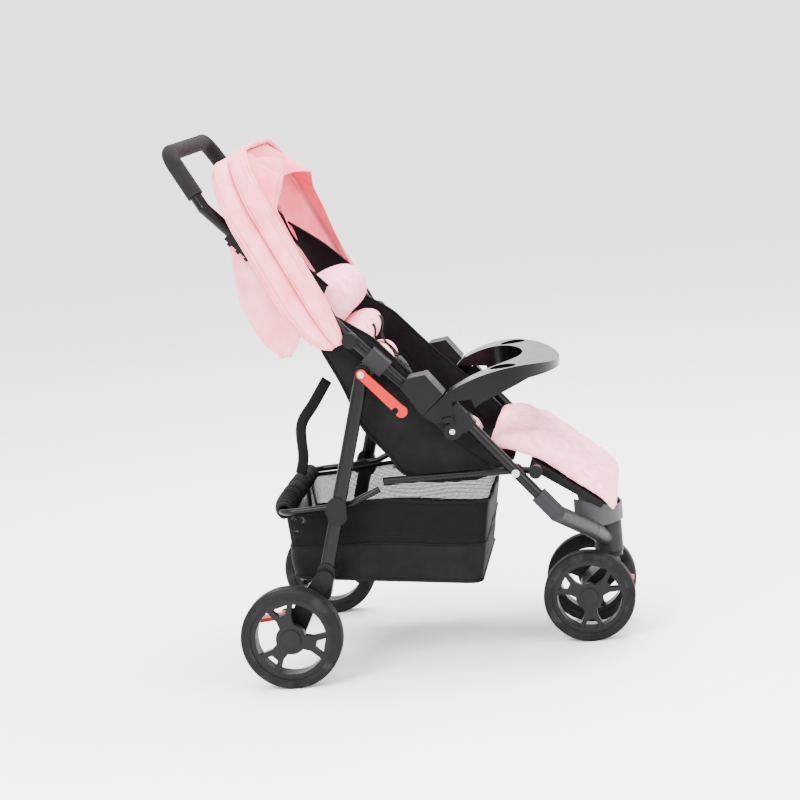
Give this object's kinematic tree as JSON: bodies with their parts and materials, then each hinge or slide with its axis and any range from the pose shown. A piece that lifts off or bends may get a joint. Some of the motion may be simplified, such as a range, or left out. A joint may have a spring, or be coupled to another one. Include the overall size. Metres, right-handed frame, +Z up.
{
  "type": "baby stroller",
  "caption": "Folding baby stroller on a swivelling double front wheel and fixed rear wheels, with handle, reclining seat, canopy, snack tray, leg rest and basket.",
  "frame": {"origin": "on the floor, under the middle of the stroller's bounding box", "axes": "+X is the travel direction, +Y is the stroller's left side, +Z is up"},
  "size_m": [0.7823, 0.586, 0.9843],
  "materials": {
    "painted_tube": "gloss",
    "steel": "satin",
    "foam_grip": "matte",
    "tyre": "matte",
    "rim_plastic": "satin",
    "black_plastic": "satin",
    "grey_plastic": "satin",
    "shell_plastic": "satin",
    "gloss_tray": "gloss",
    "red_plastic": "satin",
    "black_cloth": "woven",
    "pink_cloth": "woven"
  },
  "bodies": {
    "rear_frame": {"rear_leg_right": "painted_tube", "rear_leg_left": "painted_tube", "rear_foot_right": "black_plastic", "rear_foot_left": "black_plastic", "rear_axle": "steel", "rear_crossbar": "painted_tube", "rail_brackets": "black_plastic", "basket_rail": "painted_tube", "basket_bag": "black_cloth"},
    "rear_wheel_right": {"rear_tyre_right": "tyre", "rear_rim_right": "rim_plastic"},
    "rear_wheel_left": {"rear_tyre_left": "tyre", "rear_rim_left": "rim_plastic"},
    "brake_right": {"brake_pedal_right": "red_plastic"},
    "brake_left": {"brake_pedal_left": "red_plastic"},
    "handle_frame": {"handle_tube": "painted_tube", "handle_grip": "foam_grip", "tube_sleeves": "grey_plastic", "leg_pins": "steel", "arm_housing_right": "black_plastic", "arm_housing_left": "black_plastic", "canopy_hubs": "black_plastic", "canopy_rear_bow": "painted_tube", "seat_sides": "black_cloth", "rear_flap": "pink_cloth", "recline_strap": "black_cloth"},
    "catch_right": {"fold_catch_right": "black_plastic"},
    "catch_left": {"fold_catch_left": "black_plastic"},
    "hook_right": {"latch_hook_right": "red_plastic"},
    "hook_left": {"latch_hook_left": "red_plastic"},
    "canopy": {"canopy_front_bow": "painted_tube", "canopy_hood": "pink_cloth"},
    "tray": {"tray": "gloss_tray"},
    "button_right": {"tray_button_right": "gloss_tray"},
    "button_left": {"tray_button_left": "gloss_tray"},
    "backrest": {"backrest_board": "black_cloth", "backrest_pad": "pink_cloth", "shoulder_straps": "black_cloth", "harness_buckle": "black_plastic"},
    "front_frame": {"front_tube_right": "painted_tube", "front_tube_left": "painted_tube", "hinge_brackets": "black_plastic", "fold_pins": "steel", "nose": "grey_plastic", "foot_shell": "shell_plastic", "rail_pins": "steel"},
    "seat_frame": {"seat_rails": "painted_tube", "seat_sling": "black_cloth", "seat_cushion": "pink_cloth"},
    "leg_rest": {"leg_rest_board": "black_cloth", "leg_rest_knobs": "black_plastic", "leg_rest_liner": "pink_cloth"},
    "caster": {"caster_fork": "black_plastic", "caster_stem": "steel", "front_axle": "steel"},
    "lock": {"lock_lever": "red_plastic"},
    "front_wheel_right": {"front_tyre_right": "tyre", "front_rim_right": "rim_plastic"},
    "front_wheel_left": {"front_tyre_left": "tyre", "front_rim_left": "rim_plastic"}
  },
  "joints": [
    {"name": "fold", "type": "hinge", "parent": "rear_frame", "child": "handle_frame", "pos_m": [-0.057, 0, 0.555], "axis": [0, -1, 0], "range_deg": [0, 88], "deforming": ["basket_bag", "recline_strap", "seat_sides", "rear_flap"]},
    {"name": "front_fold", "type": "hinge", "parent": "handle_frame", "child": "front_frame", "pos_m": [0.095, 0, 0.439], "axis": [0, 1, 0], "range_deg": [0, 121.53]},
    {"name": "seat_fold", "type": "hinge", "parent": "front_frame", "child": "seat_frame", "pos_m": [0.201, 0, 0.356], "axis": [0, -1, 0], "range_deg": [0, 73.51], "deforming": ["seat_sling", "seat_cushion"]},
    {"name": "rear_spin_right", "type": "hinge", "parent": "rear_frame", "child": "rear_wheel_right", "pos_m": [-0.223, -0.272, 0.092], "axis": [0, 1, 0], "continuous": true},
    {"name": "rear_spin_left", "type": "hinge", "parent": "rear_frame", "child": "rear_wheel_left", "pos_m": [-0.223, 0.272, 0.092], "axis": [0, 1, 0], "continuous": true},
    {"name": "brake_right_press", "type": "hinge", "parent": "rear_frame", "child": "brake_right", "pos_m": [-0.242, -0.23, 0.122], "axis": [0, -1, 0], "range_deg": [0, 16]},
    {"name": "brake_left_press", "type": "hinge", "parent": "rear_frame", "child": "brake_left", "pos_m": [-0.242, 0.23, 0.122], "axis": [0, -1, 0], "range_deg": [0, 16]},
    {"name": "catch_right_slide", "type": "slide", "parent": "handle_frame", "child": "catch_right", "axis": [-0.689, 0, 0.7248], "range_m": [0, 0.025]},
    {"name": "catch_left_slide", "type": "slide", "parent": "handle_frame", "child": "catch_left", "axis": [-0.689, 0, 0.7248], "range_m": [0, 0.025]},
    {"name": "hook_right_turn", "type": "hinge", "parent": "handle_frame", "child": "hook_right", "pos_m": [-0.057, -0.248, 0.555], "axis": [0, 1, 0], "range_deg": [0, 50]},
    {"name": "hook_left_turn", "type": "hinge", "parent": "handle_frame", "child": "hook_left", "pos_m": [-0.057, 0.248, 0.555], "axis": [0, 1, 0], "range_deg": [0, 50]},
    {"name": "canopy_turn", "type": "hinge", "parent": "handle_frame", "child": "canopy", "pos_m": [-0.074, 0, 0.614], "axis": [0, 1, 0], "range_deg": [0, 85], "deforming": ["canopy_hood"]},
    {"name": "tray_slide", "type": "slide", "parent": "handle_frame", "child": "tray", "axis": [0.9397, 0, 0.342], "range_m": [0, 0.05]},
    {"name": "button_right_press", "type": "slide", "parent": "tray", "child": "button_right", "axis": [0, 1, 0], "range_m": [0, 0.0015], "stiffness_N_per_m": 400},
    {"name": "button_left_press", "type": "slide", "parent": "tray", "child": "button_left", "axis": [0, -1, 0], "range_m": [0, 0.0015], "stiffness_N_per_m": 400},
    {"name": "recline", "type": "hinge", "parent": "handle_frame", "child": "backrest", "pos_m": [-0.027, 0, 0.393], "axis": [0, -1, 0], "range_deg": [0, 32], "deforming": ["backrest_pad", "shoulder_straps", "harness_buckle"]},
    {"name": "leg_rest_turn", "type": "hinge", "parent": "seat_frame", "child": "leg_rest", "pos_m": [0.235, 0, 0.352], "axis": [0, -1, 0], "range_deg": [0, 35], "deforming": ["leg_rest_liner"]},
    {"name": "caster_swivel", "type": "hinge", "parent": "front_frame", "child": "caster", "pos_m": [0.347, 0, 0.15], "axis": [0, 0, 1], "continuous": true},
    {"name": "lock_flip", "type": "hinge", "parent": "caster", "child": "lock", "pos_m": [0.365, 0, 0.102], "axis": [0, 1, 0], "range_deg": [0, 14]},
    {"name": "front_spin_right", "type": "hinge", "parent": "caster", "child": "front_wheel_right", "pos_m": [0.307, -0.074, 0.085], "axis": [0, 1, 0], "continuous": true},
    {"name": "front_spin_left", "type": "hinge", "parent": "caster", "child": "front_wheel_left", "pos_m": [0.307, 0.074, 0.085], "axis": [0, 1, 0], "continuous": true}
  ],
  "couplings": [
    {"joint": "front_fold", "follows": "fold", "ratio": 1.3809},
    {"joint": "seat_fold", "follows": "fold", "ratio": 0.83522}
  ]
}
